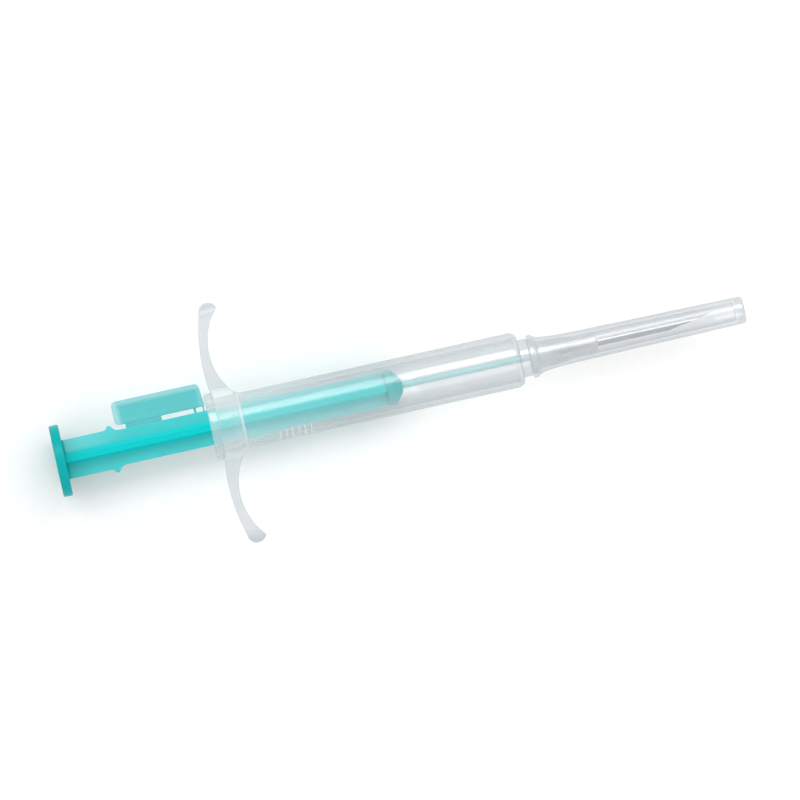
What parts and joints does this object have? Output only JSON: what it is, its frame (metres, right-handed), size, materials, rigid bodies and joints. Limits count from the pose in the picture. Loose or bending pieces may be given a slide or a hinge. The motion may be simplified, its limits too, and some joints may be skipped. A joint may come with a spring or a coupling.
{
  "type": "transponder implanter syringe",
  "caption": "Single-use implanter syringe: a cross-shaped plunger with a tear-off safety tab pushes a glass transponder through a capped, bevelled needle.",
  "frame": {"origin": "middle of the thumb flange's rear face, on the syringe's axis", "axes": "+X along the axis to the needle, +Y to the side of the safety tab with the finger wings along Y, +Z square to the wings"},
  "size_m": [0.1454, 0.0506, 0.015],
  "materials": {
    "frosted_plastic": "frosted translucent polypropylene",
    "grip_plastic": "frosted translucent polypropylene",
    "hub_plastic": "translucent polypropylene",
    "needle_steel": "polished stainless steel",
    "hub_adhesive": "clear cured adhesive",
    "teal_plastic": "translucent teal polypropylene",
    "teal_pin": "translucent teal polypropylene",
    "tab_plastic": "translucent teal polypropylene",
    "cap_plastic": "clear polypropylene",
    "capsule_glass": "clear bioglass",
    "ferrite": "ground ferrite",
    "copper": "enamelled copper wire",
    "circuit_board": "solder-masked circuit board",
    "capsule_adhesive": "clear cured adhesive"
  },
  "bodies": {
    "syringe_barrel": {"barrel": "frosted_plastic", "finger_grip": "grip_plastic", "needle_hub": "hub_plastic", "cannula": "needle_steel", "hub_adhesive": "hub_adhesive"},
    "plunger_rod": {"plunger": "teal_plastic", "push_pin": "teal_pin"},
    "tear_off_tab": {"safety_tab": "tab_plastic"},
    "cap": {"needle_cap": "cap_plastic"},
    "transponder": {"glass_capsule": "capsule_glass", "ferrite_core": "ferrite", "antenna_coil": "copper", "ic_module": "circuit_board", "capsule_adhesive": "capsule_adhesive"}
  },
  "joints": [
    {"name": "plunger_slide", "type": "slide", "parent": "syringe_barrel", "child": "plunger_rod", "axis": [1, 0, 0], "range_m": [0, 0.024]},
    {"name": "tab_tear_off", "type": "slide", "parent": "syringe_barrel", "child": "tear_off_tab", "axis": [0, 1, 0], "range_m": [0, 0.024]},
    {"name": "transponder_push", "type": "slide", "parent": "syringe_barrel", "child": "transponder", "axis": [1, 0, 0], "range_m": [0, 0.024]},
    {"name": "cap_pull", "type": "slide", "parent": "syringe_barrel", "child": "cap", "axis": [1, 0, 0], "range_m": [0, 0.05]}
  ],
  "couplings": [
    {"joint": "tab_tear_off", "follows": "plunger_slide", "ratio": 1},
    {"joint": "transponder_push", "follows": "plunger_slide", "ratio": 1}
  ]
}
